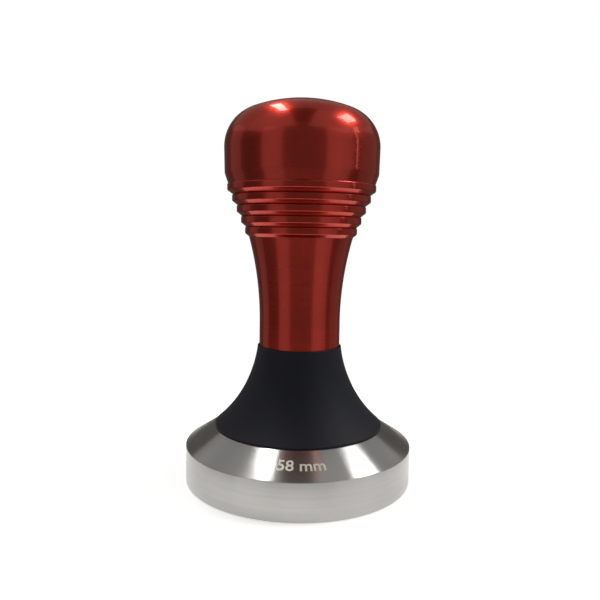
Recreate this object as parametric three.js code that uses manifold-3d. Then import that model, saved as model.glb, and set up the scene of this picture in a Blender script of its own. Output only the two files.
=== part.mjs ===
// A spring-calibrated espresso tamper: a steel base under a black skirt, and a turned handle that is pressed
// down into the skirt against a spring until it meets a stop. Millimetres, +Z up. The origin is the centre of
// the tamping face, and all the pieces share the Z axis except the small screw that locks the bush.
import * as THREE from "three";
import { mergeVertices } from "three/addons/utils/BufferGeometryUtils.js";
import Module from "manifold-3d";

const wasm = await Module();
wasm.setup();

// Fits: clearance on each side
const restGap = 0.05; // pieces that rest on each other or screw together
const slideGap = 0.12; // handle in the skirt
const bearingGap = 0.06; // rod in its liner
const ringGap = 0.1; // guide ring in the handle's bore
const springGap = 1; // spring in the handle's bore

// Base
const baseRadius = 29; // for a 58 mm basket
const baseSide = 9.3; // straight side, below the cone
const baseHeight = 14; // up to the shelf that the skirt stands on
const coneRun = 7.4; // how far the cone comes in
const edgeBreak = 0.3;
const socketDepth = 2; // recess in the shelf that centres the skirt
const tapRelief = 1.5; // hole below the rod's end

// Skirt
const skirtHeight = 20.7;
const flareRadius = 31.5; // hollow curve of the outside
const rimWall = 0.32;
const skirtWall = 1.8;
const guideWall = 1.6; // wall round the handle's bore
const bossRadius = 9;
const lipHeight = 0.5;
const wiperRise = 0.8; // wiper ring above the handle's lower end
const wiperHeight = 1.3;
const wiperDepth = 0.8;
const sealSection = 0.6; // radius of the O-ring's section

// Travel
const handleEntry = 8.2; // length of handle inside the skirt at rest
const travel = 5;
const bumperHeight = 1;

// Rod and nut
const threadRadius = 4;
const threadEngaged = 6.5; // length screwed into the base
const rodRadius = 5;
const nutFlats = 13;
const nutHeight = 4;
const pistonInset = 0.6; // piston smaller than the bore, each side
const pistonHeight = 4;
const guideRingHeight = 2;
const guideRingDepth = 0.9;
const guideRingCut = 0.8;

// Bush in the handle's mouth
const mouthWall = 1.36; // handle wall round the bush
const boreStep = 0.75; // bore smaller than the mouth, each side
const bushLength = 11.5;
const linerWall = 1.1;
const reboundHeight = 0.8;
const spannerHoleDepth = 3;
const screwRadius = 1.45;
const screwSink = 0.2; // screw's outer end under the neck's surface
const screwFlats = 1.5;
const screwRise = 4; // screw's axis above the handle's lower end

// Spring and its seats
const wireRadius = 1;
const springCoils = 8.9;
const closedCoils = 1; // at each end
const closedGap = 0.16; // between the closed coils
const springReserve = 1.2; // length left before the coils meet at full travel
const seatPlate = 1;
const seatBoss = 1.6;
const seatHole = 2.2;
const thrustHeight = 0.8;
const shimHeight = 0.3;

// Handle, from the skirt's rim up
const neckRadius = 10.31;
const neckRise = 6.35; // straight neck
const waistRise = 27.65; // up to the lowest ring
const waistFlare = 2.87;
const ringCount = 5;
const ringPitch = 2.668;
const lowRingOut = 0.99; // lowest ring's crest outside the top of the waist
const ringSpread = 4.5; // highest ring's crest outside the lowest one's
const ringRound = 0.45; // under the crest
const ringSlope = 53; // steepest part of the underside, in degrees
const ringEdge = 0.5; // small round above the crest
const ringFlank = 1; // straight between the two
const ringUnderside = 1; // crest above the foot of its slope
const headOut = 0.77; // head's side outside the highest ring
const headSide = 8.98; // groove to the start of the shoulder
const headFootSlope = 19; // cone at the head's lower end, in degrees
const headFootRound = 2.5;
const headDraft = 0.12;
const shoulderRadius = 9.95;
const crownRadius = 36.4;

const steps = { outer: 48, inner: 32, small: 24, wire: 8, perCoil: 14 };

// Heights that follow from them
const shelfRadius = baseRadius - coneRun;
const rimZ = baseHeight + skirtHeight;
const handleFootZ = rimZ - handleEntry;
const floorZ = handleFootZ - travel - 3 * restGap - bumperHeight; // floor of the skirt's bore
const nutZ = floorZ - nutHeight;
const bossZ = baseHeight - socketDepth;
const rodFootZ = bossZ - threadEngaged;
const bushTopZ = handleFootZ + bushLength;
const pistonZ = bushTopZ + reboundHeight + 2 * restGap;
const pistonTopZ = pistonZ + pistonHeight;
const springFootZ = pistonTopZ + seatPlate + 2 * restGap;
const springLength = springCoils * 2 * wireRadius + travel + springReserve;
const springTopZ = springFootZ + springLength;
const thrustZ = springTopZ + seatPlate + 2 * restGap;
const shimZ = thrustZ + thrustHeight + restGap;
const boreTopZ = shimZ + shimHeight + restGap;
const neckTopZ = rimZ + neckRise;
const waistTopZ = rimZ + waistRise;

// Radii that follow from them
const skirtBore = neckRadius + slideGap;
const rimRadius = skirtBore + rimWall;
const mouthRadius = neckRadius - mouthWall;
const boreRadius = mouthRadius - boreStep;
const pistonRadius = boreRadius - pistonInset;
const linerRadius = rodRadius + bearingGap + linerWall;
const springMean = boreRadius - springGap - wireRadius;
const seatRadius = springMean + wireRadius;
const seatBossRadius = springMean - wireRadius - 0.3;
const bushWall = mouthRadius - linerRadius;
const screwFoot = linerRadius + bushWall / 3; // from the axis
const screwLength = neckRadius - screwSink - screwFoot;
const waistTopRadius = neckRadius + waistFlare;

// An arc of `count` steps about (r, z), from angle `from` to angle `to`, in degrees
function arc(r, z, radius, from, to, count) {
  return Array.from({ length: count + 1 }, (_, i) => {
    const a = THREE.MathUtils.degToRad(from + ((to - from) * i) / count);
    return [r + radius * Math.cos(a), z + radius * Math.sin(a)];
  });
}

// The centre of the arc of this radius from a to b, on the side away from the axis
function arcCentre(a, b, radius) {
  const dr = b[0] - a[0];
  const dz = b[1] - a[1];
  const chord = Math.hypot(dr, dz);
  const rise = Math.sqrt(radius ** 2 - chord ** 2 / 4) / chord;
  return [(a[0] + b[0]) / 2 + Math.abs(dz) * rise, (a[1] + b[1]) / 2 + Math.abs(dr) * rise];
}

// A solid turned about Z. The outline runs up the outside, as [radius, height] points.
function turned(outline, count) {
  const points = outline.map(([r, z]) => new THREE.Vector2(r, z));
  return new THREE.LatheGeometry(points, count).rotateX(Math.PI / 2);
}

// The same for a ring, whose outline comes back to its first point
function turnedRing(outline, count) {
  return turned([...outline, outline[0]], count);
}

function washer(inner, outer, z, height, count) {
  const top = z + height;
  return turnedRing([[inner, z], [outer, z], [outer, top], [inner, top]], count);
}

// A hexagonal prism that stands on z, with flats this far apart
function hexagon(flats, z, height, hole) {
  const corner = flats / Math.sqrt(3);
  const corners = Array.from({ length: 6 }, (_, i) =>
    new THREE.Vector2(corner * Math.cos((i * Math.PI) / 3), corner * Math.sin((i * Math.PI) / 3)));
  const shape = new THREE.Shape(corners);
  if (hole) shape.holes.push(new THREE.Path().absarc(0, 0, hole, 0, 2 * Math.PI, true));
  const options = { depth: height, bevelEnabled: false, curveSegments: steps.small };
  return new THREE.ExtrudeGeometry(shape, options).translate(0, 0, z);
}

// A cylinder that stands on z, about the line x = y = 0 or another upright line
function peg(radius, z, height, x = 0) {
  const geometry = new THREE.CylinderGeometry(radius, radius, height, steps.small / 2);
  return geometry.rotateX(Math.PI / 2).translate(x, 0, z + height / 2);
}

function solid(geometry) {
  const bare = geometry.clone();
  bare.deleteAttribute("normal");
  bare.deleteAttribute("uv");
  const merged = mergeVertices(bare, 1e-4);
  const triVerts = new Uint32Array(merged.index.array);
  const vertProperties = merged.attributes.position.array;
  return new wasm.Manifold(new wasm.Mesh({ numProp: 3, vertProperties, triVerts }));
}

function cut(geometry, ...tools) {
  const mesh = tools.reduce((left, tool) => left.subtract(solid(tool)), solid(geometry)).getMesh();
  const result = new THREE.BufferGeometry();
  result.setAttribute("position", new THREE.BufferAttribute(mesh.vertProperties, 3));
  result.setIndex(new THREE.BufferAttribute(mesh.triVerts, 1));
  result.computeVertexNormals();
  return result;
}

// Turns an upright tool so that its own +Z points along +Y, at the lock screw's height
function atScrew(geometry) {
  return geometry.rotateX(-Math.PI / 2).translate(0, 0, handleFootZ + screwRise);
}

function tampingBase() {
  const hole = threadRadius + restGap;
  return turned([
    [0, 0],
    [baseRadius - edgeBreak, 0],
    [baseRadius, edgeBreak],
    [baseRadius, baseSide],
    [shelfRadius, baseHeight],
    [bossRadius + restGap, baseHeight],
    [bossRadius + restGap, bossZ - restGap],
    [hole, bossZ - restGap],
    [hole, rodFootZ - tapRelief],
    [0, rodFootZ - tapRelief - hole / 2],
  ], steps.outer);
}

// Its groove is in the side of the skirt's boss
const sealZ = baseHeight - socketDepth / 2;
const sealGroove = bossRadius - 2 * sealSection;

function baseSealRing() {
  const centre = bossRadius - sealSection + restGap / 2;
  const section = arc(centre, sealZ, sealSection - restGap / 2, 0, 315, 7);
  return turnedRing(section, steps.inner);
}

function skirt() {
  const foot = baseHeight + restGap;
  const rim = [rimRadius, rimZ - rimWall];
  const lip = [shelfRadius - restGap * 2, baseHeight + lipHeight];
  const [r, z] = arcCentre(rim, lip, flareRadius);
  const angle = (p) => THREE.MathUtils.radToDeg(Math.atan2(p[1] - z, p[0] - r)) + (p[1] < z ? 360 : 0);
  const flare = arc(r, z, flareRadius, angle(lip), angle(rim), 14);

  // The hollow under the skirt keeps the wall's thickness, and ends where it meets the guide's wall
  const guide = skirtBore + guideWall;
  const innerRadius = flareRadius + skirtWall;
  const innerZ = (radius) => z - Math.sqrt(innerRadius ** 2 - (r - radius) ** 2);
  const innerR = (height) => r - Math.sqrt(innerRadius ** 2 - (z - height) ** 2);
  const hollowTop = [guide + skirtWall / 2, innerZ(guide + skirtWall / 2)];
  const hollowFoot = [innerR(foot + lipHeight), foot + lipHeight];
  const hollow = arc(r, z, innerRadius, angle(hollowTop), angle(hollowFoot), 6);

  const hole = threadRadius + restGap;
  const grooveFoot = sealZ - sealSection;
  const grooveTop = sealZ + sealSection;
  const wiperZ = handleFootZ + wiperRise;
  const body = turnedRing([
    [hole, bossZ],
    [bossRadius, bossZ],
    [bossRadius, grooveFoot],
    [sealGroove, grooveFoot],
    [sealGroove, grooveTop],
    [bossRadius, grooveTop],
    [bossRadius, foot],
    [guide, foot],
    [guide, hollowTop[1]],
    ...hollow,
    [hollowFoot[0], foot],
    [lip[0] - lipHeight / 3, foot],
    ...flare,
    [rimRadius - rimWall / 4, rimZ],
    [skirtBore, rimZ],
    [skirtBore, wiperZ + wiperHeight],
    [skirtBore + wiperDepth, wiperZ + wiperHeight],
    [skirtBore + wiperDepth, wiperZ],
    [skirtBore, wiperZ],
    [skirtBore, floorZ],
    [hole, floorZ],
  ], steps.outer);
  return cut(body, hexagon(nutFlats + 2 * restGap, nutZ - restGap, nutHeight + 1));
}

function skirtWiperRing() {
  const inner = neckRadius + restGap;
  const z = handleFootZ + wiperRise + restGap;
  return washer(inner, skirtBore + wiperDepth - restGap, z, wiperHeight - 2 * restGap, steps.outer);
}

function endBumper() {
  return washer(rodRadius + 0.3, skirtBore - 0.3, floorZ + restGap, bumperHeight, steps.inner);
}

// Threaded foot, shoulder on the nut, plain shank and grooved piston
function guideRod() {
  const ringFoot = pistonZ + (pistonHeight - guideRingHeight) / 2;
  const ringTop = ringFoot + guideRingHeight;
  const shoulderZ = floorZ + restGap;
  return turned([
    [0, rodFootZ],
    [threadRadius - 0.6, rodFootZ],
    [threadRadius, rodFootZ + 0.6],
    [threadRadius, shoulderZ],
    [rodRadius, shoulderZ],
    [rodRadius, pistonZ],
    [pistonRadius, pistonZ],
    [pistonRadius, ringFoot],
    [pistonRadius - guideRingDepth, ringFoot],
    [pistonRadius - guideRingDepth, ringTop],
    [pistonRadius, ringTop],
    [pistonRadius, pistonTopZ],
    [0, pistonTopZ],
  ], steps.inner);
}

function rodLockNut() {
  return hexagon(nutFlats, nutZ, nutHeight, threadRadius + restGap);
}

function reboundWasher() {
  return washer(rodRadius + restGap, pistonRadius - 0.2, bushTopZ + restGap, reboundHeight, steps.inner);
}

function pistonGuideRing() {
  const z = pistonZ + (pistonHeight - guideRingHeight) / 2 + restGap;
  const inner = pistonRadius - guideRingDepth + restGap;
  const outer = boreRadius - ringGap;
  const ring = washer(inner, outer, z, guideRingHeight - 2 * restGap, steps.inner);
  const saw = new THREE.BoxGeometry(guideRingCut, 2 * outer, 2 * guideRingHeight);
  return cut(ring, saw.translate(0, -outer, z));
}

// The lower seat has its boss up and the upper one has it down
function springSeat(z, up) {
  const seat = turnedRing([
    [seatHole, 0],
    [seatRadius, 0],
    [seatRadius, seatPlate],
    [seatBossRadius, seatPlate],
    [seatBossRadius - 0.3, seatPlate + seatBoss],
    [seatHole, seatPlate + seatBoss],
  ], steps.small);
  if (!up) seat.rotateX(Math.PI);
  return seat.translate(0, 0, z);
}

// The spring's centre line: a closed coil at each end and an even pitch between
class SpringLine extends THREE.Curve {
  getPoint(t, target = new THREE.Vector3()) {
    const grind = wireRadius / 2;
    const closedPitch = 2 * wireRadius + closedGap;
    const height = springLength - 2 * wireRadius + 2 * grind;
    const openCoils = springCoils - 2 * closedCoils;
    const openPitch = (height - 2 * closedCoils * closedPitch) / openCoils;
    const coil = t * springCoils;
    const low = Math.min(coil, closedCoils);
    const high = Math.max(coil - closedCoils - openCoils, 0);
    const z = (low + high) * closedPitch + (coil - low - high) * openPitch;
    const turn = 2 * Math.PI * coil;
    const foot = springFootZ + wireRadius - grind;
    return target.set(springMean * Math.cos(turn), springMean * Math.sin(turn), foot + z);
  }
}

function mainSpring() {
  const section = new THREE.Shape(arc(0, 0, wireRadius, 0, 360 - 360 / steps.wire, steps.wire - 1)
    .map(([x, y]) => new THREE.Vector2(x, y)));
  const extrudePath = new SpringLine();
  const wire = new THREE.ExtrudeGeometry(section, {
    steps: Math.round(springCoils * steps.perCoil),
    extrudePath,
  });
  // Both ends are ground flat
  const grinder = () => new THREE.BoxGeometry(4 * boreRadius, 4 * boreRadius, 4 * wireRadius);
  const below = grinder().translate(0, 0, springFootZ - 2 * wireRadius);
  const above = grinder().translate(0, 0, springTopZ + 2 * wireRadius);
  return cut(wire, below, above);
}

function thrustWasher() {
  return washer(seatHole, boreRadius - 0.3, thrustZ, thrustHeight, steps.inner);
}

function preloadShim() {
  return washer(seatHole, boreRadius - 0.2, shimZ, shimHeight, steps.inner);
}

function retainingBush() {
  const outer = mouthRadius - restGap;
  const inner = linerRadius + restGap;
  const body = washer(inner, outer, handleFootZ, bushLength, steps.inner);
  const pin = (side) =>
    peg(bushWall / 4, handleFootZ - 1, spannerHoleDepth + 1, (side * (inner + outer)) / 2);
  const screwHole = atScrew(peg(screwRadius + restGap, screwFoot - restGap, 2 * screwLength));
  return cut(body, pin(1), pin(-1), screwHole);
}

function bushLiner() {
  return washer(rodRadius + bearingGap, linerRadius, handleFootZ, bushLength, steps.inner);
}

function bushLockScrew() {
  const body = peg(screwRadius, screwFoot, screwLength);
  const socket = hexagon(screwFlats, screwFoot + screwLength / 2, screwLength);
  return atScrew(cut(body, socket));
}

// The rings' crests, from the lowest up, lie on a gentle curve
function ringCrest(i) {
  const down = (ringCount - 1 - i) / (ringCount - 1);
  const lowest = waistTopRadius + lowRingOut;
  return [
    lowest + ringSpread * (1 - down * (1.12 - 0.12 * down)),
    waistTopZ + ringUnderside + i * ringPitch,
  ];
}

// One ring: a wide round that runs up to the crest, a flank and a small round into the notch above
function ringOutline(i) {
  const [r, z] = ringCrest(i);
  const under = arc(r - ringRound, z, ringRound, -ringSlope, 0, 3);
  return [...under, ...arc(r - ringEdge, z + ringFlank, ringEdge, 0, 55, 2)];
}

function handle() {
  const neckBend = (waistFlare ** 2 + (waistTopZ - neckTopZ) ** 2) / (2 * waistFlare);
  const waistAngle = THREE.MathUtils.radToDeg(Math.asin((waistTopZ - neckTopZ) / neckBend));
  const waist = arc(neckRadius + neckBend, neckTopZ, neckBend, 180, 180 - waistAngle, 6);
  const rings = Array.from({ length: ringCount }, (_, i) => ringOutline(i)).flat();

  // The head: short cone, nearly straight side, shoulder and shallow crown
  const topRing = ringCrest(ringCount - 1)[0];
  const [notchR, headZ] = rings.at(-1);
  const slope = THREE.MathUtils.degToRad(headFootSlope);
  const side = topRing + headOut - headDraft;
  const coneHeight = (side - headFootRound * (1 - Math.cos(slope)) - notchR) / Math.tan(slope);
  const sideZ = headZ + coneHeight + headFootRound * Math.sin(slope);
  const foot = arc(side - headFootRound, sideZ, headFootRound, -headFootSlope, 0, 3);
  const shoulderR = topRing + headOut - shoulderRadius;
  const shoulderZ = headZ + headSide;
  const crownDrop = Math.sqrt((crownRadius - shoulderRadius) ** 2 - shoulderR ** 2);
  const tangent = THREE.MathUtils.radToDeg(Math.atan2(crownDrop, shoulderR));
  const shoulder = arc(shoulderR, shoulderZ, shoulderRadius, 0, tangent, 6);
  const crown = arc(0, shoulderZ - crownDrop, crownRadius, tangent, 90, 4).slice(1, -1);
  const top = shoulderZ - crownDrop + crownRadius;

  const body = turned([
    [0, boreTopZ + 1.2],
    [seatHole, boreTopZ],
    [boreRadius, boreTopZ],
    [boreRadius, bushTopZ + restGap],
    [mouthRadius, bushTopZ + restGap],
    [mouthRadius, handleFootZ],
    [neckRadius - edgeBreak, handleFootZ],
    [neckRadius, handleFootZ + edgeBreak],
    ...waist,
    ...rings,
    ...foot,
    ...shoulder,
    ...crown,
    [0, top],
  ], steps.outer);
  return cut(body, atScrew(peg(screwRadius + restGap, screwFoot, 2 * screwLength)));
}

const stainless = { color: 0xb9bbbd, roughness: 0.28, metalness: 1 };
const steel = { color: 0x9a9ca0, roughness: 0.35, metalness: 1 };
const springSteel = { color: 0x6f7276, roughness: 0.4, metalness: 1 };
const brass = { color: 0xb98b45, roughness: 0.35, metalness: 1 };
const redAnodised = { color: 0x7a1f18, roughness: 0.25, metalness: 0.9 };
const blackNylon = { color: 0x1b1d20, roughness: 0.6, metalness: 0 };
const blackRubber = { color: 0x141414, roughness: 0.8, metalness: 0 };
const paleNylon = { color: 0xd8d4c8, roughness: 0.5, metalness: 0 };

const tamper = new THREE.Group();

function add(name, geometry, look) {
  const piece = new THREE.Mesh(geometry, new THREE.MeshStandardMaterial(look));
  piece.name = name;
  tamper.add(piece);
}

add("tamping_base", tampingBase(), stainless);
add("base_seal_ring", baseSealRing(), blackRubber);
add("skirt", skirt(), blackNylon);
add("skirt_wiper_ring", skirtWiperRing(), blackRubber);
add("end_bumper", endBumper(), blackRubber);
add("guide_rod", guideRod(), steel);
add("rod_lock_nut", rodLockNut(), steel);
add("rebound_washer", reboundWasher(), paleNylon);
add("piston_guide_ring", pistonGuideRing(), paleNylon);
add("spring_lower_seat", springSeat(pistonTopZ + restGap, true), steel);
add("main_spring", mainSpring(), springSteel);
add("spring_upper_seat", springSeat(springTopZ + restGap + seatPlate, false), steel);
add("thrust_washer", thrustWasher(), paleNylon);
add("preload_shim", preloadShim(), steel);
add("retaining_bush", retainingBush(), brass);
add("bush_liner", bushLiner(), brass);
add("bush_lock_screw", bushLockScrew(), steel);
add("handle", handle(), redAnodised);

export default tamper;
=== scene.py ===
# Espresso tamper: turned red handle on a spring, black skirt, stainless base. Metres, +Z up.
import math

import bmesh
import bpy
from mathutils import Matrix, Vector


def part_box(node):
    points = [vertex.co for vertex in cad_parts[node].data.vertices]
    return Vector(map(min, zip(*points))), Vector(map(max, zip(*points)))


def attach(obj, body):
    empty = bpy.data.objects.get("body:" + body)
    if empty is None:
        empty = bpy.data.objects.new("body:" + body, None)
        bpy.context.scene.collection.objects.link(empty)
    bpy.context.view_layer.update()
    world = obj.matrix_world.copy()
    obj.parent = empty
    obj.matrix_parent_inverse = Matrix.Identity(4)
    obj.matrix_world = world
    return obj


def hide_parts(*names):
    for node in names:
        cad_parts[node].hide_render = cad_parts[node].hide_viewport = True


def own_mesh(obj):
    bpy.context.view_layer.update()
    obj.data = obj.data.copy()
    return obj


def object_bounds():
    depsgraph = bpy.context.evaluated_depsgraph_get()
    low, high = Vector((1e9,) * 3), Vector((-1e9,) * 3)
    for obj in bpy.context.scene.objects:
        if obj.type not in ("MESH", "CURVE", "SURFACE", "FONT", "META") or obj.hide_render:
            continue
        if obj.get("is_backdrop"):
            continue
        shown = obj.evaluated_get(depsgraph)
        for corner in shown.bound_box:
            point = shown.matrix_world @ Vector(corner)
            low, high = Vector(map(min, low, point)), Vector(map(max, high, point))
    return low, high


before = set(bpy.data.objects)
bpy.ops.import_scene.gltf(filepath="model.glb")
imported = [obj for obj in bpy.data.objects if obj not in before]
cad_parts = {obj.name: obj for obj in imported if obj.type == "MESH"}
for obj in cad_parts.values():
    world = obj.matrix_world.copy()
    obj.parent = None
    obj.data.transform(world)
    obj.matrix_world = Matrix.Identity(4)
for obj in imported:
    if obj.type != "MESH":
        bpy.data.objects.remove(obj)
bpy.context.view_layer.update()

mm = 0.001
upright = (0, 0, 1)
cutPast = 1  # how far a cutting shape reaches past the face it cuts, in mm
# where a thread's groove starts, meets its root, leaves it and ends, as shares of the pitch
grooveShares = (0.06, 0.44, 0.56, 0.94)


# The corners of a CAD node's box, in mm
def boxMm(node):
    low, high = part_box(node)
    return low / mm, high / mm


# An sRGB hex colour as the linear values that sockets take
def linearColour(hexColour):
    channels = [int(hexColour[i:i + 2], 16) / 255 for i in (0, 2, 4)]
    linear = [c / 12.92 if c <= 0.04045 else ((c + 0.055) / 1.055) ** 2.4 for c in channels]
    return (*linear, 1)


# Adds a node. Settings name its properties or its input sockets, links name its input sockets.
def addNode(tree, kind, settings=None, links=None):
    node = tree.nodes.new(kind)
    for key, value in (settings or {}).items():
        if isinstance(key, str) and key in node.bl_rna.properties:
            setattr(node, key, value)
        else:
            node.inputs[key].default_value = value
    for key, socket in (links or {}).items():
        tree.links.new(socket, node.inputs[key])
    return node


# Points on an arc about (r, z), from the start angle to the end angle
def arcPoints(r, z, radius, start, end, count):
    angles = [math.radians(start + (end - start) * i / count) for i in range(count + 1)]
    return [(r + radius * math.cos(a), z + radius * math.sin(a)) for a in angles]


# An outline of (radius, height) points in mm, turned about Z. "along" is the distance down the outline,
# which the turning marks follow.
def spinOutline(outline, steps, ring=False):
    bm = bmesh.new()
    along = bm.verts.layers.float.new("along")
    verts, travelled, last = [], 0, outline[0]
    for r, z in outline:
        travelled += math.dist((r, z), last) * mm
        last = (r, z)
        vert = bm.verts.new((r * mm, 0, z * mm))
        vert[along] = travelled
        verts.append(vert)
    loop = verts + verts[:1] if ring else verts
    edges = [bm.edges.new(pair) for pair in zip(loop, loop[1:])]
    bmesh.ops.spin(bm, geom=verts + edges, cent=(0, 0, 0), axis=upright, dvec=(0, 0, 0),
                   angle=2 * math.pi, steps=steps, use_merge=True, use_duplicate=False)
    closeSeams(bm)
    return bm


# Joins vertices that lie together, drops what has no size, then turns all faces outwards
def closeSeams(bm, distance=0.002 * mm):
    bmesh.ops.remove_doubles(bm, verts=bm.verts, dist=distance)
    bmesh.ops.dissolve_degenerate(bm, edges=bm.edges, dist=distance / 4)
    bmesh.ops.recalc_face_normals(bm, faces=bm.faces)


# Rounds the circular corners at the given (radius, height, width) places
def roundRims(bm, rims, segments=3, near=0.003 * mm):
    for r, z, width in rims:
        edges = [e for e in bm.edges if len(e.link_faces) == 2 and all(
            abs(math.hypot(v.co.x, v.co.y) - r * mm) < near and abs(v.co.z - z * mm) < near
            for v in e.verts)]
        bmesh.ops.bevel(bm, geom=edges, offset=width * mm, offset_type="OFFSET", segments=segments,
                        profile=0.5, affect="EDGES", material=-1, clamp_overlap=True)


# Puts a finished mesh in the scene, with its object at the origin
def meshObject(name, bm):
    mesh = bpy.data.meshes.new(name)
    bm.to_mesh(mesh)
    bm.free()
    thing = bpy.data.objects.new(name, mesh)
    bpy.context.scene.collection.objects.link(thing)
    return thing


# Cuts a tool out of a piece, or keeps what they share, and removes the tool
def combine(piece, toolMesh, operation="DIFFERENCE"):
    tool = meshObject("tool", toolMesh)
    modifier = piece.modifiers.new("cut", "BOOLEAN")
    modifier.object, modifier.operation, modifier.solver = tool, operation, "EXACT"
    evaluated = piece.evaluated_get(bpy.context.evaluated_depsgraph_get())
    made = bpy.data.meshes.new_from_object(evaluated)
    piece.modifiers.clear()
    old, piece.data = piece.data, made
    bpy.data.meshes.remove(old)
    bpy.data.meshes.remove(tool.data)


# Smooth shading with sharp edges kept, one material, and the piece's place in the frame
def finishPiece(piece, material, body, node=None, smoothAngle=28):
    piece.data.shade_smooth()
    piece.data.set_sharp_from_angle(angle=math.radians(smoothAngle))
    piece.data.materials.clear()
    piece.data.materials.append(material)
    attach(piece, body)
    if node:
        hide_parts(node)
    return piece


# An upright prism with this many corners, for holes, sockets and nuts
def uprightPrism(corners, radius, low, high, centre=(0, 0)):
    bm = bmesh.new()
    place = Matrix.Translation((centre[0] * mm, centre[1] * mm, (low + high) / 2 * mm))
    bmesh.ops.create_cone(bm, cap_ends=True, cap_tris=False, segments=corners, radius1=radius * mm,
                          radius2=radius * mm, depth=(high - low) * mm, matrix=place)
    return bm


# A rectangular ring outline, from its inner to its outer radius
def washerOutline(inner, outer, low, high):
    return [(inner, low), (outer, low), (outer, high), (inner, high)]


# Vee grooves at a thread's pitch, from the height low up to high. The depth is negative in a hole.
def threadOutline(radius, low, high, pitch, depth):
    points = []
    for i in range(int((high - low) / pitch)):
        z = low + i * pitch
        start, rootStart, rootEnd, end = (z + share * pitch for share in grooveShares)
        points += [(radius, start), (radius - depth, rootStart), (radius - depth, rootEnd), (radius, end)]
    return points


# Camera: its place in mm, how far it looks down and leans in degrees, and its lens in mm
cameraPlace = {"location": (0, -162, 64.3), "pitch": 6.36, "roll": 0.883, "lens": 38.07, "sensor": 36,
               "clip": (0.01, 10)}

cameraData = bpy.data.cameras.new("camera")
cameraData.lens, cameraData.sensor_width = cameraPlace["lens"], cameraPlace["sensor"]
cameraData.clip_start, cameraData.clip_end = cameraPlace["clip"]
camera = bpy.data.objects.new("camera", cameraData)
camera.matrix_world = (Matrix.Translation(Vector(cameraPlace["location"]) * mm)
                       @ Matrix.Rotation(math.radians(90 - cameraPlace["pitch"]), 4, "X")
                       @ Matrix.Rotation(math.radians(cameraPlace["roll"]), 4, "Z"))
bpy.context.scene.collection.objects.link(camera)
bpy.context.scene.camera = camera
print("camera placed")


# Materials. Sizes of patches, grain and tool marks are in mm.
def startMaterial(name, shaderSettings):
    material = bpy.data.materials.new(name)
    material.use_nodes = True
    tree = material.node_tree
    tree.nodes.clear()
    shader = addNode(tree, "ShaderNodeBsdfPrincipled", shaderSettings)
    addNode(tree, "ShaderNodeOutputMaterial", links={"Surface": shader.outputs["BSDF"]})
    return material, tree, shader


# Two colours a few per cent apart, mixed in soft patches of this size
def patchyColour(tree, shader, colours, patch):
    place = addNode(tree, "ShaderNodeTexCoord")
    noise = addNode(tree, "ShaderNodeTexNoise", {"Scale": 1 / (patch * mm), "Detail": 3, "Roughness": 0.55},
                    {"Vector": place.outputs["Object"]})
    ramp = addNode(tree, "ShaderNodeValToRGB", links={"Fac": noise.outputs["Fac"]})
    ramp.color_ramp.elements[0].position, ramp.color_ramp.elements[1].position = 0.3, 0.7
    for element, colour in zip(ramp.color_ramp.elements, colours):
        element.color = linearColour(colour)
    tree.links.new(ramp.outputs["Color"], shader.inputs["Base Color"])


# The marks a lathe tool leaves: fine rings along the outline, uneven in depth, and roughness that goes
# with them in bands a few rings wide. feed is the distance between rings.
def turningMarks(tree, shader, feed, depth, roughness, spread, strength=1.0, ringsPerBand=6):
    along = addNode(tree, "ShaderNodeAttribute", {"attribute_type": "GEOMETRY", "attribute_name": "along"})
    rings = addNode(tree, "ShaderNodeMath", {"operation": "MULTIPLY", 1: 1 / (feed * mm)},
                    {0: along.outputs["Fac"]})
    fine = addNode(tree, "ShaderNodeTexNoise",
                   {"noise_dimensions": "1D", "Scale": 1, "Detail": 2, "Roughness": 0.55},
                   {"W": rings.outputs[0]})
    bump = addNode(tree, "ShaderNodeBump", {"Strength": strength, "Distance": depth * mm},
                   {"Height": fine.outputs["Fac"]})
    tree.links.new(bump.outputs["Normal"], shader.inputs["Normal"])
    slow = addNode(tree, "ShaderNodeMath", {"operation": "MULTIPLY", 1: 1 / (ringsPerBand * feed * mm)},
                   {0: along.outputs["Fac"]})
    bands = addNode(tree, "ShaderNodeTexNoise", {"noise_dimensions": "1D", "Scale": 1, "Detail": 2},
                    {"W": slow.outputs[0]})
    rough = addNode(tree, "ShaderNodeMapRange",
                    {"From Min": 0.3, "From Max": 0.7,
                     "To Min": roughness - spread, "To Max": roughness + spread},
                    {"Value": bands.outputs["Fac"]})
    tree.links.new(rough.outputs["Result"], shader.inputs["Roughness"])
    tangent = addNode(tree, "ShaderNodeTangent", {"direction_type": "RADIAL", "axis": "Z"})
    tree.links.new(tangent.outputs["Tangent"], shader.inputs["Tangent"])


# A grain with no direction: moulded texture, blasting or plating
def plainGrain(tree, shader, grain, depth, roughness, spread):
    place = addNode(tree, "ShaderNodeTexCoord")
    noise = addNode(tree, "ShaderNodeTexNoise", {"Scale": 1 / (grain * mm), "Detail": 3, "Roughness": 0.6},
                    {"Vector": place.outputs["Object"]})
    bump = addNode(tree, "ShaderNodeBump", {"Strength": 1.0, "Distance": depth * mm},
                   {"Height": noise.outputs["Fac"]})
    tree.links.new(bump.outputs["Normal"], shader.inputs["Normal"])
    rough = addNode(tree, "ShaderNodeMapRange",
                    {"From Min": 0.3, "From Max": 0.7,
                     "To Min": roughness - spread, "To Max": roughness + spread},
                    {"Value": noise.outputs["Fac"]})
    tree.links.new(rough.outputs["Result"], shader.inputs["Roughness"])


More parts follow.
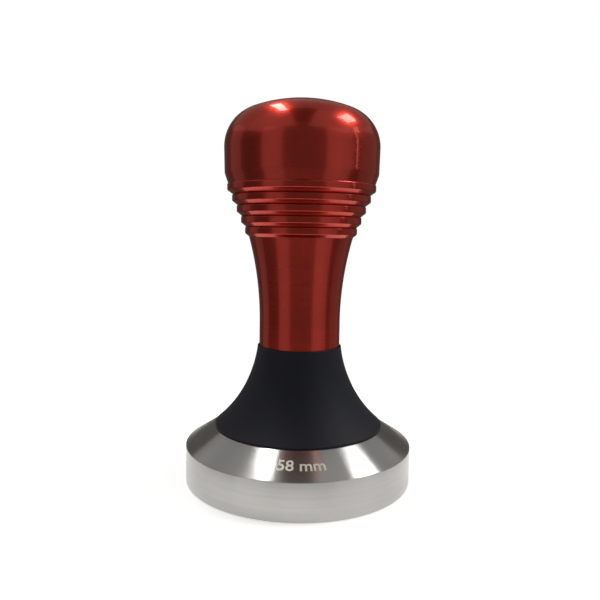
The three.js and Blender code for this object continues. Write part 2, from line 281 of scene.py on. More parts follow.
# Anodised aluminium, turned, polished and dyed: lamps stay nearly white in the clear oxide skin, while the
# metal's own reflections are deep red and drawn out up and down by the turning marks
def anodisedAluminium():
    material, tree, shader = startMaterial("anodisedAluminiumTurned", {
        "Metallic": 1.0, "Anisotropic": 0.5, "Anisotropic Rotation": 0.25,
        "Specular Tint": linearColour("F0C4BC"),
        "Coat Weight": 0.4, "Coat Roughness": 0.08, "Coat IOR": 1.6})
    patchyColour(tree, shader, ("AC2F22", "B63325"), 7)
    turningMarks(tree, shader, feed=0.25, depth=0.0002, roughness=0.28, spread=0.01, strength=0.25)
    return material


# Stainless steel, fine turned: grey metal whose rings stretch each light into a crisp wedge
def turnedStainless():
    material, tree, shader = startMaterial("stainlessSteelTurned", {
        "Metallic": 1.0, "Anisotropic": 1.0, "Anisotropic Rotation": 0.25})
    patchyColour(tree, shader, ("B6B5B2", "BBBAB8"), 12)
    turningMarks(tree, shader, feed=0.3, depth=0.0007, roughness=0.25, spread=0.02)
    return material


# Glass-filled nylon, moulded in a spark-eroded tool: dead matt, a faint blue-grey sheen on its slopes
def mouldedNylon():
    material, tree, shader = startMaterial("nylonMouldedMatt", {"IOR": 1.36})
    patchyColour(tree, shader, ("090C18", "0B0E1B"), 5)
    plainGrain(tree, shader, grain=0.35, depth=0.02, roughness=0.6, spread=0.05)
    return material


# Steel, turned and left bare: a plain grey shine crossed by fine rings
def turnedSteel():
    material, tree, shader = startMaterial("carbonSteelTurned", {
        "Metallic": 1.0, "Anisotropic": 0.6, "Anisotropic Rotation": 0.25})
    patchyColour(tree, shader, ("9A9CA0", "A6A7AA"), 4)
    turningMarks(tree, shader, feed=0.2, depth=0.0015, roughness=0.3, spread=0.05)
    return material


# Plated, blasted or drawn metal with no turning lines
def grainyMetal(name, colours, patch, grain, depth, roughness, spread):
    material, tree, shader = startMaterial(name, {"Metallic": 1.0})
    patchyColour(tree, shader, colours, patch)
    plainGrain(tree, shader, grain, depth, roughness, spread)
    return material


# Rubber or plastic with a soft grain
def grainyPolymer(name, ior, colours, patch, grain, depth, roughness, spread):
    material, tree, shader = startMaterial(name, {"IOR": ior})
    patchyColour(tree, shader, colours, patch)
    plainGrain(tree, shader, grain, depth, roughness, spread)
    return material


# Brass, turned: warm yellow with fine rings
def turnedBrass():
    material, tree, shader = startMaterial("brassTurned", {
        "Metallic": 1.0, "Anisotropic": 0.5, "Anisotropic Rotation": 0.25})
    patchyColour(tree, shader, ("C29A52", "B78A45"), 4)
    turningMarks(tree, shader, feed=0.2, depth=0.0015, roughness=0.27, spread=0.04)
    return material


redFinish = anodisedAluminium()
steelFinish = turnedStainless()
skirtFinish = mouldedNylon()
rodFinish = turnedSteel()
brassFinish = turnedBrass()
# Zinc plating: pale, faintly blue and cloudy
zincFinish = grainyMetal("steelZincPlated", ("B4B8BC", "A7ADB4"), patch=2, grain=0.3, depth=0.004,
                         roughness=0.33, spread=0.05)
# Spring steel, drawn and oiled: dark grey with a soft shine
springFinish = grainyMetal("springSteelDrawn", ("6C6F73", "7B7E82"), patch=3, grain=0.25, depth=0.004,
                           roughness=0.36, spread=0.06)
# Black oxide on steel: nearly black, slightly brown, satin
blackSteelFinish = grainyMetal("steelBlackened", ("34332F", "3E3D39"), patch=1.5, grain=0.2, depth=0.004,
                               roughness=0.42, spread=0.05)
# Oil-soaked sintered bronze: dull copper brown with open pores
bronzeFinish = grainyMetal("bronzeSintered", ("8F6A3E", "7C5A33"), patch=1, grain=0.18, depth=0.012,
                           roughness=0.48, spread=0.07)
# Laser-etched steel: a pale frost that stays the same from every side
etchFinish = grainyMetal("stainlessSteelEtched", ("D9D4C6", "CFCABC"), patch=0.8, grain=0.15, depth=0.006,
                         roughness=0.62, spread=0.05)
# Nitrile rubber, moulded: black and dull
rubberFinish = grainyPolymer("nitrileRubberMoulded", 1.52, ("121212", "191919"), patch=2, grain=0.25,
                             depth=0.01, roughness=0.68, spread=0.06)
# PTFE, skived: waxy white
ptfeFinish = grainyPolymer("ptfeSkived", 1.35, ("E6E4DD", "DBD8CF"), patch=3, grain=0.3, depth=0.006,
                           roughness=0.5, spread=0.06)
# Natural nylon, turned from rod: cream, slightly cloudy
creamFinish = grainyPolymer("nylonNatural", 1.53, ("DDD6C2", "D2CAB4"), patch=3, grain=0.3, depth=0.006,
                            roughness=0.42, spread=0.06)
print("materials ready")


# Handle. Sizes are in mm and angles in degrees. neckRise and waistRise are heights above the skirt's rim.
handleLow, handleHigh = boxMm("handle")
baseHigh = boxMm("tamping_base")[1]
rimZ = boxMm("skirt")[1].z

handleSizes = {
    "neckRadius": 10.31, "neckRise": 6.35, "waistRise": 27.65, "waistFlare": 2.87,
    "rings": 5, "ringPitch": 2.668, "lowRingOut": 0.99, "ringSpread": 4.5, "ringBow": 0.12,
    "ringUnderside": 1, "ringRound": 0.45, "ringSlope": 53, "ringEdge": 0.5, "ringFlank": 1,
    "ringEdgeTurn": 55,
    "headOut": 0.77, "headSide": 8.98, "headFootSlope": 19, "headFootRound": 2.5, "headDraft": 0.12,
    "shoulderRadius": 9.95, "crownRadius": 36.4,
    "boreRadius": 8.2, "boreTop": 70.3, "mouthRadius": 8.95, "mouthDepth": 11.55, "drillRadius": 2.2,
    "drillTip": 1.2, "footChamfer": 0.3, "mouthChamfer": 0.25, "steps": 176,
    "waistPoints": 26, "undersidePoints": 9, "edgePoints": 7, "headFootPoints": 6, "shoulderPoints": 26,
    "crownPoints": 14,
}


# The radius and height of a ring's widest point, counted from the lowest ring
def ringCrest(i):
    s = handleSizes
    down = (s["rings"] - 1 - i) / (s["rings"] - 1)
    lowest = s["neckRadius"] + s["waistFlare"] + s["lowRingOut"]
    crestZ = rimZ + s["waistRise"] + s["ringUnderside"] + i * s["ringPitch"]
    return lowest + s["ringSpread"] * (1 - down * (1 + s["ringBow"] * (1 - down))), crestZ


# One ring from below: a rounded underside, an upright flank and a rounded top edge
def ringOutline(i):
    s = handleSizes
    r, z = ringCrest(i)
    under = arcPoints(r - s["ringRound"], z, s["ringRound"], -s["ringSlope"], 0, s["undersidePoints"])
    return under + arcPoints(r - s["ringEdge"], z + s["ringFlank"], s["ringEdge"], 0, s["ringEdgeTurn"],
                             s["edgePoints"])


# The bore from its top down to the foot, then the outside from the foot up to the crown
def handleOutline():
    s = handleSizes
    foot, neck = handleLow.z, s["neckRadius"]
    neckTop, waistTop = rimZ + s["neckRise"], rimZ + s["waistRise"]
    bend = (s["waistFlare"] ** 2 + (waistTop - neckTop) ** 2) / (2 * s["waistFlare"])
    bendAngle = math.degrees(math.asin((waistTop - neckTop) / bend))
    waist = arcPoints(neck + bend, neckTop, bend, 180, 180 - bendAngle, s["waistPoints"])
    rings = [point for i in range(s["rings"]) for point in ringOutline(i)]
    topRing = ringCrest(s["rings"] - 1)[0]
    notchR, headZ = rings[-1]
    slope = math.radians(s["headFootSlope"])
    side = topRing + s["headOut"] - s["headDraft"]
    coneHeight = (side - s["headFootRound"] * (1 - math.cos(slope)) - notchR) / math.tan(slope)
    sideZ = headZ + coneHeight + s["headFootRound"] * math.sin(slope)
    headFoot = arcPoints(side - s["headFootRound"], sideZ, s["headFootRound"], -s["headFootSlope"], 0,
                         s["headFootPoints"])
    shoulderR = topRing + s["headOut"] - s["shoulderRadius"]
    shoulderZ = headZ + s["headSide"]
    drop = math.sqrt((s["crownRadius"] - s["shoulderRadius"]) ** 2 - shoulderR ** 2)
    tangent = math.degrees(math.atan2(drop, shoulderR))
    shoulder = arcPoints(shoulderR, shoulderZ, s["shoulderRadius"], 0, tangent, s["shoulderPoints"])
    crown = arcPoints(0, shoulderZ - drop, s["crownRadius"], tangent, 90, s["crownPoints"])[1:-1]
    mouthTop = foot + s["mouthDepth"]
    return [
        (0, s["boreTop"] + s["drillTip"]), (s["drillRadius"], s["boreTop"]), (s["boreRadius"], s["boreTop"]),
        (s["boreRadius"], mouthTop), (s["mouthRadius"], mouthTop),
        (s["mouthRadius"], foot + s["mouthChamfer"]), (s["mouthRadius"] + s["mouthChamfer"], foot),
        (neck - s["footChamfer"], foot), (neck, foot + s["footChamfer"]),
        *waist, *rings, *headFoot, *shoulder, *crown, (0, handleHigh.z)]


lockScrew = {
    "radius": 1.45, "tip": 0.3, "pitch": 0.5, "threadDepth": 0.22, "threadEnd": 0.25, "socketFlats": 1.5,
    "socketDepth": 1.5, "steps": 40, "play": 0.05, "holeNear": 7, "holeFar": 13, "holeCorners": 24,
}


# Lays what stands on Z along +Y, at the lock screw's height
def screwPlace():
    low, high = boxMm("bush_lock_screw")
    return Matrix.Translation((0, 0, (low.z + high.z) / 2 * mm)) @ Matrix.Rotation(-math.pi / 2, 4, "X")


# The lock screw's hole, through the handle's foot and the bush
def screwHole():
    s = lockScrew
    bm = uprightPrism(s["holeCorners"], s["radius"] + s["play"], s["holeNear"], s["holeFar"])
    bmesh.ops.transform(bm, matrix=screwPlace(), verts=bm.verts)
    return bm


handleBody = meshObject("handleBody", spinOutline(handleOutline(), handleSizes["steps"]))
combine(handleBody, screwHole())
finishPiece(handleBody, redFinish, "handle", "handle")
print("handle turned")


# Skirt
skirtSizes = {
    "flareRadius": 31.5, "rimWall": 0.32, "wall": 1.8, "guideWall": 1.6, "bore": 10.43,
    "bossRadius": 9, "lipHeight": 0.5, "lipRadius": 21.5, "footGap": 0.05, "lipRound": 0.2, "rimRound": 0.16,
    "boreRound": 0.1, "bossRound": 0.25, "roundSegments": 4, "flarePoints": 44, "hollowPoints": 20,
    "wiperRise": 0.8, "wiperHeight": 1.3, "wiperDepth": 0.8, "sealSection": 0.6, "socketDepth": 2,
    "floor": 20.35, "nutFlats": 13.1, "nutFoot": 16.3, "hole": 4.05, "steps": 160,
}


# Boss, seal groove, hollow underside, lip, flare and rim, then the bore with the wiper's groove
def skirtOutline():
    s = skirtSizes
    baseZ, foot = baseHigh.z, baseHigh.z + s["footGap"]
    rim = Vector((s["bore"] + s["rimWall"], rimZ - s["rimWall"]))
    lip = Vector((s["lipRadius"], baseZ + s["lipHeight"]))
    chord = (lip - rim).length
    rise = math.sqrt(s["flareRadius"] ** 2 - chord ** 2 / 4) / chord
    r = (rim.x + lip.x) / 2 + abs(lip.y - rim.y) * rise
    z = (rim.y + lip.y) / 2 + abs(lip.x - rim.x) * rise

    def angle(p):
        return math.degrees(math.atan2(p.y - z, p.x - r)) % 360

    flare = arcPoints(r, z, s["flareRadius"], angle(lip), angle(rim), s["flarePoints"])
    guide, inner = s["bore"] + s["guideWall"], s["flareRadius"] + s["wall"]
    topR, footZ = guide + s["wall"] / 2, foot + s["lipHeight"]
    hollowTop = Vector((topR, z - math.sqrt(inner ** 2 - (r - topR) ** 2)))
    hollowFoot = Vector((r - math.sqrt(inner ** 2 - (z - footZ) ** 2), footZ))
    hollow = arcPoints(r, z, inner, angle(hollowTop), angle(hollowFoot), s["hollowPoints"])
    sealZ, bossZ = baseZ - s["socketDepth"] / 2, baseZ - s["socketDepth"]
    groove = s["bossRadius"] - 2 * s["sealSection"]
    wiperZ = handleLow.z + s["wiperRise"]
    return [
        (s["hole"], bossZ), (s["bossRadius"], bossZ), (s["bossRadius"], sealZ - s["sealSection"]),
        (groove, sealZ - s["sealSection"]), (groove, sealZ + s["sealSection"]),
        (s["bossRadius"], sealZ + s["sealSection"]), (s["bossRadius"], foot), (guide, foot),
        (guide, hollowTop.y), *hollow, (hollowFoot.x, foot), (lip.x, foot), *flare,
        (rim.x, rimZ), (s["bore"], rimZ), (s["bore"], wiperZ + s["wiperHeight"]),
        (s["bore"] + s["wiperDepth"], wiperZ + s["wiperHeight"]), (s["bore"] + s["wiperDepth"], wiperZ),
        (s["bore"], wiperZ), (s["bore"], s["floor"]), (s["hole"], s["floor"])]


def skirtMesh():
    s = skirtSizes
    bm = spinOutline(skirtOutline(), s["steps"], ring=True)
    roundRims(bm, [
        (s["lipRadius"], baseHigh.z + s["footGap"], s["lipRound"]),
        (s["bore"] + s["rimWall"], rimZ, s["rimRound"]), (s["bore"], rimZ, s["boreRound"]),
        (s["bossRadius"], baseHigh.z - s["socketDepth"], s["bossRound"])], s["roundSegments"])
    closeSeams(bm)
    return bm


skirtShell = meshObject("skirtShell", skirtMesh())
combine(skirtShell, uprightPrism(6, skirtSizes["nutFlats"] / math.sqrt(3), skirtSizes["nutFoot"],
                                 skirtSizes["floor"] + cutPast))
finishPiece(skirtShell, skirtFinish, "base", "skirt")
print("skirt moulded")


# Base
baseSizes = {
    "side": 9.3, "coneRun": 7.4, "footRound": 0.35, "sideRound": 0.12, "shelfRound": 0.15,
    "socketRadius": 9.05, "socketFloor": 11.95, "threadRadius": 4.05, "threadFoot": 4, "pitch": 1.25,
    "threadDepth": 0.3, "threadChamfer": 0.4, "drillTip": 2, "steps": 200,
}


# The face, the straight side and the cone, then the skirt's socket and the rod's threaded hole
def baseOutline():
    s = baseSizes
    outer, top, shelf = baseHigh.x, baseHigh.z, baseHigh.x - s["coneRun"]
    radius, chamfer = s["threadRadius"], s["threadChamfer"]
    thread = threadOutline(radius, s["threadFoot"], s["socketFloor"] - chamfer, s["pitch"], -s["threadDepth"])
    return [
        (0, 0), (outer, 0), (outer, s["side"]), (shelf, top), (s["socketRadius"], top),
        (s["socketRadius"], s["socketFloor"]), (radius + chamfer, s["socketFloor"]),
        (radius, s["socketFloor"] - chamfer), *reversed(thread), (radius, s["threadFoot"]),
        (0, s["threadFoot"] - s["drillTip"])]


baseMesh = spinOutline(baseOutline(), baseSizes["steps"])
roundRims(baseMesh, [
    (baseHigh.x, 0, baseSizes["footRound"]), (baseHigh.x, baseSizes["side"], baseSizes["sideRound"]),
    (baseHigh.x - baseSizes["coneRun"], baseHigh.z, baseSizes["shelfRound"])])
baseDisc = meshObject("baseDisc", baseMesh)
finishPiece(baseDisc, steelFinish, "base", "tamping_base")


# A plain size mark, laser etched on the cone's front. weight is how far the strokes are thickened, as a
# share of the letters' height.
etchSizes = {"text": "58 mm", "height": 4, "turn": 2, "weight": 0.012, "depth": 0.03, "proud": 0.015,
             "slice": 0.45, "curveSteps": 6}


# The mark as flat letters, cut in upright slices and bent round the cone
def etchedMark():
    s = etchSizes
    curve = bpy.data.curves.new("sizeMark", "FONT")
    curve.body, curve.size = s["text"], s["height"] * mm
    curve.align_x, curve.align_y = "CENTER", "CENTER"
    curve.offset, curve.extrude = s["weight"] * s["height"] * mm, s["depth"] / 2 * mm
    curve.resolution_u = s["curveSteps"]
    flat = bpy.data.objects.new("sizeMark", curve)
    bpy.context.scene.collection.objects.link(flat)
    letters = bpy.data.meshes.new_from_object(flat.evaluated_get(bpy.context.evaluated_depsgraph_get()))
    bpy.data.objects.remove(flat)
    bm = bmesh.new()
    bm.from_mesh(letters)
    bpy.data.meshes.remove(letters)
    bmesh.ops.remove_doubles(bm, verts=bm.verts, dist=1e-6)
    reach = max(abs(v.co.x) for v in bm.verts)
    slices = int(2 * reach / (s["slice"] * mm))
    for i in range(1, slices):
        at = -reach + 2 * reach * i / slices
        bmesh.ops.bisect_plane(bm, geom=bm.verts[:] + bm.edges[:] + bm.faces[:], dist=1e-8,
                               plane_co=(at, 0, 0), plane_no=(1, 0, 0))
    run, climb = -baseSizes["coneRun"], baseHigh.z - baseSizes["side"]
    length = math.hypot(run, climb)
    alongR, alongZ = run / length, climb / length
    midR, midZ = baseHigh.x + run / 2, baseSizes["side"] + climb / 2
    for v in bm.verts:
        out = v.co.z / mm + s["proud"] - s["depth"] / 2
        r = midR + alongR * v.co.y / mm + alongZ * out
        z = midZ + alongZ * v.co.y / mm - alongR * out
        angle = math.radians(s["turn"] - 90) + v.co.x / mm / midR
        v.co = (r * math.cos(angle) * mm, r * math.sin(angle) * mm, z * mm)
    bmesh.ops.recalc_face_normals(bm, faces=bm.faces)
    return bm


finishPiece(meshObject("sizeMark", etchedMark()), etchFinish, "base")
print("base turned and marked")


# Guide rod, with a threaded foot and a piston head that has a hexagonal socket
rodLow, rodHigh = boxMm("guide_rod")
rodSizes = {
    "threadRadius": 4, "pitch": 1.25, "threadDepth": 0.6, "threadEnd": 0.8, "tip": 0.6, "shoulder": 20.4,
    "radius": 5, "piston": 38.9, "grooveDepth": 0.9, "grooveFoot": 39.9, "grooveTop": 41.9,
    "socketFlats": 5, "socketDepth": 2.5, "pistonRound": 0.3, "shoulderRound": 0.2, "steps": 96,
}


def guideRodMesh():
    s = rodSizes
    piston, groove = rodHigh.x, rodHigh.x - s["grooveDepth"]
    thread = threadOutline(s["threadRadius"], rodLow.z + s["tip"], s["shoulder"] - s["threadEnd"], s["pitch"],
                           s["threadDepth"])
    bm = spinOutline([
        (0, rodLow.z), (s["threadRadius"] - s["tip"], rodLow.z), *thread, (s["threadRadius"], s["shoulder"]),
        (s["radius"], s["shoulder"]), (s["radius"], s["piston"]), (piston, s["piston"]),
        (piston, s["grooveFoot"]), (groove, s["grooveFoot"]), (groove, s["grooveTop"]),
        (piston, s["grooveTop"]), (piston, rodHigh.z), (0, rodHigh.z)], s["steps"])
    roundRims(bm, [(piston, s["piston"], s["pistonRound"]), (piston, rodHigh.z, s["pistonRound"]),
                   (s["radius"], s["shoulder"], s["shoulderRound"])])
    return bm


guideRod = meshObject("guideRod", guideRodMesh())
combine(guideRod, uprightPrism(6, rodSizes["socketFlats"] / math.sqrt(3),
                               rodHigh.z - rodSizes["socketDepth"], rodHigh.z + cutPast))
finishPiece(guideRod, rodFinish, "base", "guide_rod")

nutSizes = {"flats": 13, "bore": 4.05, "chamfer": 30, "coneOut": 0.3, "sinkOut": 1.5, "sinkDepth": 0.5,
            "coneSteps": 96, "boreSteps": 64}


# A hexagon whose corners are turned off by a cone at both ends, with a countersunk hole
def lockNut():
    s = nutSizes
    low, high = boxMm("rod_lock_nut")
    corner, flat = s["flats"] / math.sqrt(3), s["flats"] / 2
    nut = meshObject("lockNut", uprightPrism(6, corner, low.z, high.z))
    outer = corner + s["coneOut"]
    drop = (outer - flat) * math.tan(math.radians(s["chamfer"]))
    cones = [(0, low.z), (flat, low.z), (outer, low.z + drop), (outer, high.z - drop), (flat, high.z),
             (0, high.z)]
    combine(nut, spinOutline(cones, s["coneSteps"]), "INTERSECT")
    bore, sink = s["bore"], s["bore"] + s["sinkOut"]
    hole = [(0, low.z - cutPast), (sink, low.z - cutPast), (bore, low.z + s["sinkDepth"]),
            (bore, high.z - s["sinkDepth"]), (sink, high.z + cutPast), (0, high.z + cutPast)]
    combine(nut, spinOutline(hole, s["boreSteps"]))
    return nut


finishPiece(lockNut(), zincFinish, "base", "rod_lock_nut")

# Plain rings: CAD node, piece name, inner radius, width of the rounded corners, finish, body, slot
plainRingSteps = 96
plainRings = [
    ("skirt_wiper_ring", "wiperRing", 10.36, 0.22, rubberFinish, "base", "black_rubber"),
    ("end_bumper", "endBumper", 5.3, 0.3, rubberFinish, "base", "black_rubber"),
    ("rebound_washer", "reboundWasher", 5.05, 0.18, creamFinish, "base", "natural_nylon"),
    ("thrust_washer", "thrustWasher", 2.2, 0.15, ptfeFinish, "handle", "ptfe"),
    ("preload_shim", "preloadShim", 2.2, 0.05, rodFinish, "handle", "turned_steel"),
    ("bush_liner", "bushLiner", 5.06, 0.25, bronzeFinish, "handle", "bronze_liner"),
]
for node, name, inner, corner, finish, body, slot in plainRings:
    low, high = boxMm(node)
    ringMesh = spinOutline(washerOutline(inner, high.x, low.z, high.z), plainRingSteps, ring=True)
    roundRims(ringMesh, [(r, z, corner) for r in (inner, high.x) for z in (low.z, high.z)])
    closeSeams(ringMesh)
    finishPiece(meshObject(name, ringMesh), finish, body, node)

# The O-ring under the skirt's boss: a round section, turned
sealRing = {"centreRadius": 8.425, "section": 0.575, "sides": 24, "steps": 96}
sealLow, sealHigh = boxMm("base_seal_ring")
sealSection = arcPoints(sealRing["centreRadius"], (sealLow.z + sealHigh.z) / 2, sealRing["section"],
                        0, 360 - 360 / sealRing["sides"], sealRing["sides"] - 1)
finishPiece(meshObject("sealRing", spinOutline(sealSection, sealRing["steps"], ring=True)),
            rubberFinish, "base", "base_seal_ring")

guideRing = {"inner": 6.75, "gap": 0.8, "corner": 0.12, "steps": 90}


# A split ring: a section turned not quite all the way round, with its ends closed
def splitRing():
    low, high = boxMm("piston_guide_ring")
    s = guideRing
    gap = s["gap"] / high.y
    bm = bmesh.new()
    start = -math.pi / 2 + gap / 2
    corners = [bm.verts.new((r * mm * math.cos(start), r * mm * math.sin(start), z * mm))
               for r, z in washerOutline(s["inner"], high.y, low.z, high.z)]
    section = bm.faces.new(corners)
    bmesh.ops.bevel(bm, geom=section.edges[:] + section.verts[:], offset=s["corner"] * mm, segments=2,
                    profile=0.5, affect="VERTICES", material=-1)
    bmesh.ops.spin(bm, geom=bm.verts[:] + bm.edges[:] + bm.faces[:], cent=(0, 0, 0), axis=upright,
                   dvec=(0, 0, 0), angle=2 * math.pi - gap, steps=s["steps"], use_duplicate=True)
    closeSeams(bm)
    return bm


finishPiece(meshObject("guideRing", splitRing()), ptfeFinish, "base", "piston_guide_ring")
print("rod, nut and rings ready")


# Spring seats: a plate with a slightly tapered boss that centres the spring
seatSizes = {"hole": 2.2, "plate": 1, "bossRadius": 4.9, "bossTaper": 0.3, "corner": 0.2, "steps": 80}


def seatMesh(node, up):
    low, high = boxMm(node)
    s = seatSizes
    height = high.z - low.z
    outline = [(s["hole"], 0), (high.x, 0), (high.x, s["plate"]), (s["bossRadius"], s["plate"]),
               (s["bossRadius"] - s["bossTaper"], height), (s["hole"], height)]
    placed = [(r, low.z + z if up else high.z - z) for r, z in outline]
    bm = spinOutline(placed, s["steps"], ring=True)
    roundRims(bm, [(*placed[i], s["corner"]) for i in (1, 2, 4)])
    closeSeams(bm)
    return bm


finishPiece(meshObject("lowerSeat", seatMesh("spring_lower_seat", True)), zincFinish, "base",
            "spring_lower_seat")
finishPiece(meshObject("upperSeat", seatMesh("spring_upper_seat", False)), zincFinish, "spring_cap",
            "spring_upper_seat")

# Spring. mean is the coils' mean radius and wire the wire's radius.
springSizes = {"mean": 6.2, "wire": 1, "coils": 8.9, "closed": 1, "closedPitch": 2.16, "section": 20,
               "perCoil": 44}


# A round wire wound with a closed coil at each end and an even pitch between, then ground flat
def springMesh(near=1e-7):
    low, high = boxMm("main_spring")
    s = springSizes
    openCoils = s["coils"] - 2 * s["closed"]
    climb = high.z - low.z - s["wire"]
    openPitch = (climb - 2 * s["closed"] * s["closedPitch"]) / openCoils
    bm = bmesh.new()
    place = (Matrix.Translation((s["mean"] * mm, 0, (low.z + s["wire"] / 2) * mm))
             @ Matrix.Rotation(math.pi / 2, 4, "X"))
    bmesh.ops.create_circle(bm, cap_ends=False, segments=s["section"], radius=s["wire"] * mm, matrix=place)
    bmesh.ops.contextual_create(bm, geom=bm.edges[:])
    end = bm.verts[:] + bm.edges[:] + bm.faces[:]
    closedCoil = (s["closed"], s["closedPitch"])
    for coils, pitch in (closedCoil, (openCoils, openPitch), closedCoil):
        steps = round(coils * s["perCoil"])
        wound = bmesh.ops.spin(bm, geom=end, cent=(0, 0, 0), axis=upright,
                               dvec=(0, 0, coils * pitch * mm / steps),
                               angle=2 * math.pi * coils, steps=steps, use_duplicate=False)
        end = wound["geom_last"]
    bmesh.ops.remove_doubles(bm, verts=bm.verts, dist=near)
    for height, side in ((low.z, -1), (high.z, 1)):
        bmesh.ops.bisect_plane(bm, geom=bm.verts[:] + bm.edges[:] + bm.faces[:], dist=near,
                               plane_co=(0, 0, height * mm), plane_no=(0, 0, side), clear_outer=True)
        rim = [e for e in bm.edges if e.is_boundary]
        bmesh.ops.holes_fill(bm, edges=rim, sides=0)
    bmesh.ops.recalc_face_normals(bm, faces=bm.faces)
    return bm


mainSpring = meshObject("mainSpring", springMesh())
finishPiece(mainSpring, springFinish, "base", "main_spring")
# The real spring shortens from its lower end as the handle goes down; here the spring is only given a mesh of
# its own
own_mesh(mainSpring)
print("spring wound")


# Retaining bush, with an outside thread and two holes for a pin spanner
bushSizes = {
    "inner": 6.21, "pitch": 1, "threadDepth": 0.35, "threadFoot": 1.2, "threadTop": 0.6, "chamfer": 0.3,
    "pinRadius": 0.7, "pinDepth": 3, "pinCorners": 20, "steps": 96,
}
bushLow, bushHigh = boxMm("retaining_bush")


def retainingBush():
    s = bushSizes
    outer = bushHigh.x
    thread = threadOutline(outer, bushLow.z + s["threadFoot"], bushHigh.z - s["threadTop"], s["pitch"],
                           s["threadDepth"])
    outline = [(s["inner"], bushLow.z), (outer - s["chamfer"], bushLow.z), (outer, bushLow.z + s["chamfer"]),
               *thread, (outer, bushHigh.z - s["chamfer"]), (outer - s["chamfer"], bushHigh.z),
               (s["inner"], bushHigh.z)]
    bush = meshObject("retainingBush", spinOutline(outline, s["steps"], ring=True))
    for side in (-1, 1):
        place = (side * (s["inner"] + outer) / 2, 0)
        combine(bush, uprightPrism(s["pinCorners"], s["pinRadius"], bushLow.z - cutPast,
                                   bushLow.z + s["pinDepth"], place))
    combine(bush, screwHole())
    return bush


finishPiece(retainingBush(), brassFinish, "handle", "retaining_bush")


# The screw is made upright, then laid down in its hole
def bushLockScrew():
    s = lockScrew
    low, high = boxMm("bush_lock_screw")
    thread = threadOutline(s["radius"], low.y + s["threadEnd"], high.y - s["threadEnd"], s["pitch"],
                           s["threadDepth"])
    tip = s["radius"] - s["tip"]
    outline = [(0, low.y), (tip, low.y), *thread, (tip, high.y), (0, high.y)]
    screw = meshObject("bushLockScrew", spinOutline(outline, s["steps"]))
    combine(screw, uprightPrism(6, s["socketFlats"] / math.sqrt(3), high.y - s["socketDepth"],
                                high.y + cutPast))
    screw.data.transform(screwPlace())
    return screw


finishPiece(bushLockScrew(), blackSteelFinish, "handle", "bush_lock_screw")
print("bush and screw ready")


# Studio: a small room with lamps and glow on its ceiling and plain walls
ceilingLamps = [
    # name, x from and to, y from and to (right and behind, in ceiling heights), height in m, brightness
    ("lampLeft", -0.345, -0.22, 0.02, 0.7, 1.5, 14),
    ("lampRight", 0.64, 1.06, -0.08, 0.42, 1.5, 10),
    ("lampFarRight", 1.5, 2.3, -0.1, 0.2, 1.5, 1.6),
    ("ceilingBehind", -2.2, 2.2, 0.1, 1.8, 1.6, 0.24),
    ("ceilingLeft", -2.2, -0.2, -1.2, 0.2, 1.6, 0.36),
    ("ceilingRight", 0.2, 2.2, -1.2, 0.2, 1.6, 0.36),
]
wallPanels = [
    # name, azimuth (0 is the camera's side, 90 the right), elevation, width, height, brightness
    ("doorEdge", 85, 16, 1.6, 26, 3),
    ("wallRight", 56, 0, 42, 70, 0.3),
    ("wallLeft", -44, 0, 32, 70, 0.24),
    ("wallFarLeft", -112, 5, 28, 50, 0.2),
    ("wallFarRight", 115, 5, 44, 50, 0.14),
    ("wallFront", 0, -5, 120, 110, 0.07),
]
studioValues = {
    "distance": 1.5, "aim": (0, 0, 0.05), "floorRadius": 0.092, "floorBack": 0.012, "floorDrop": 0.00005,
    "floorSides": 128, "floorColour": "F4F3F1", "floorRoughness": 0.9, "floorGlow": 0.5,
    "behind": 1.02, "aroundColour": "B4AEA8", "around": 0.28,
}


# A lamp or lit surface: a rectangle that faces the object and isn't itself in the picture
def addPanel(name, centre, facing, width, height, brightness):
    data = bpy.data.lights.new(name, "AREA")
    data.shape, data.size, data.size_y = "RECTANGLE", width, height
    data.energy = brightness * math.pi * width * height
    panel = bpy.data.objects.new(name, data)
    panel.matrix_world = Matrix.Translation(centre) @ facing.to_matrix().to_4x4()
    panel.visible_camera = False
    bpy.context.scene.collection.objects.link(panel)


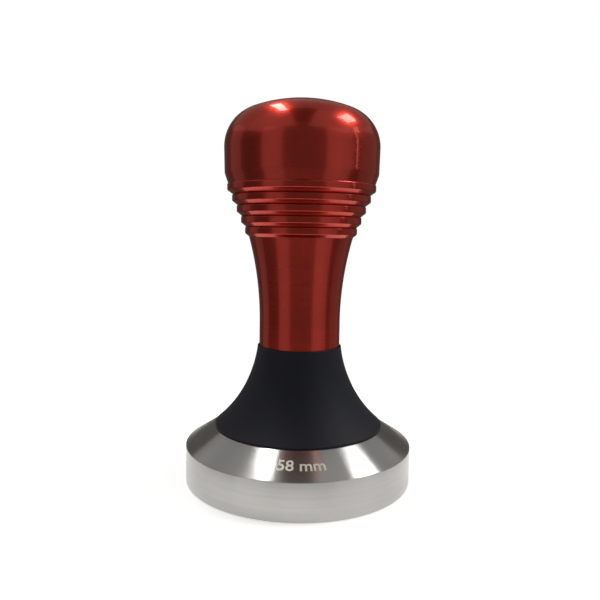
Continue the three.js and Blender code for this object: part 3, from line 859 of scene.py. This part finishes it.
aim = Vector(studioValues["aim"])
for name, x0, x1, y0, y1, height, brightness in ceilingLamps:
    centre = aim + Vector(((x0 + x1) / 2, (y0 + y1) / 2, 1)) * height
    addPanel(name, centre, Vector(upright).to_track_quat("Z", "Y"), (x1 - x0) * height, (y1 - y0) * height,
             brightness)
for name, azimuth, elevation, width, height, brightness in wallPanels:
    turn, lift = math.radians(azimuth), math.radians(elevation)
    away = Vector((math.sin(turn) * math.cos(lift), -math.cos(turn) * math.cos(lift), math.sin(lift)))
    distance = studioValues["distance"]
    sides = [2 * distance * math.tan(math.radians(angle / 2)) for angle in (width, height)]
    addPanel(name, aim + away * distance, away.to_track_quat("Z", "Y"), *sides, brightness)

# The floor is matt white board that glows a little, so it stays pale under the object
floorMesh = bmesh.new()
bmesh.ops.create_circle(floorMesh, cap_ends=True, segments=studioValues["floorSides"],
                        radius=studioValues["floorRadius"])
floor = meshObject("floor", floorMesh)
floor.data.transform(Matrix.Translation((0, studioValues["floorBack"], -studioValues["floorDrop"])))
floorFinish = startMaterial("boardMattWhite", {
    "Base Color": linearColour(studioValues["floorColour"]), "Roughness": studioValues["floorRoughness"],
    "Emission Color": linearColour("FFFFFF"), "Emission Strength": studioValues["floorGlow"]})[0]
floor.data.materials.append(floorFinish)
floor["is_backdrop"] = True

# The world is white behind the object and a dim warm grey in every reflection
world = bpy.data.worlds.new("studio")
bpy.context.scene.world = world
world.use_nodes = True
worldTree = world.node_tree
worldTree.nodes.clear()
seen = addNode(worldTree, "ShaderNodeBackground", {"Color": linearColour("FFFFFF"),
                                                   "Strength": studioValues["behind"]})
around = addNode(worldTree, "ShaderNodeBackground", {"Color": linearColour(studioValues["aroundColour"]),
                                                     "Strength": studioValues["around"]})
rays = addNode(worldTree, "ShaderNodeLightPath")
mixed = addNode(worldTree, "ShaderNodeMixShader", links={
    "Fac": rays.outputs["Is Camera Ray"], 1: around.outputs[0], 2: seen.outputs[0]})
addNode(worldTree, "ShaderNodeOutputWorld", links={"Surface": mixed.outputs[0]})
bpy.context.scene.view_settings.view_transform = "Standard"
print("studio lit")

low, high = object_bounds()
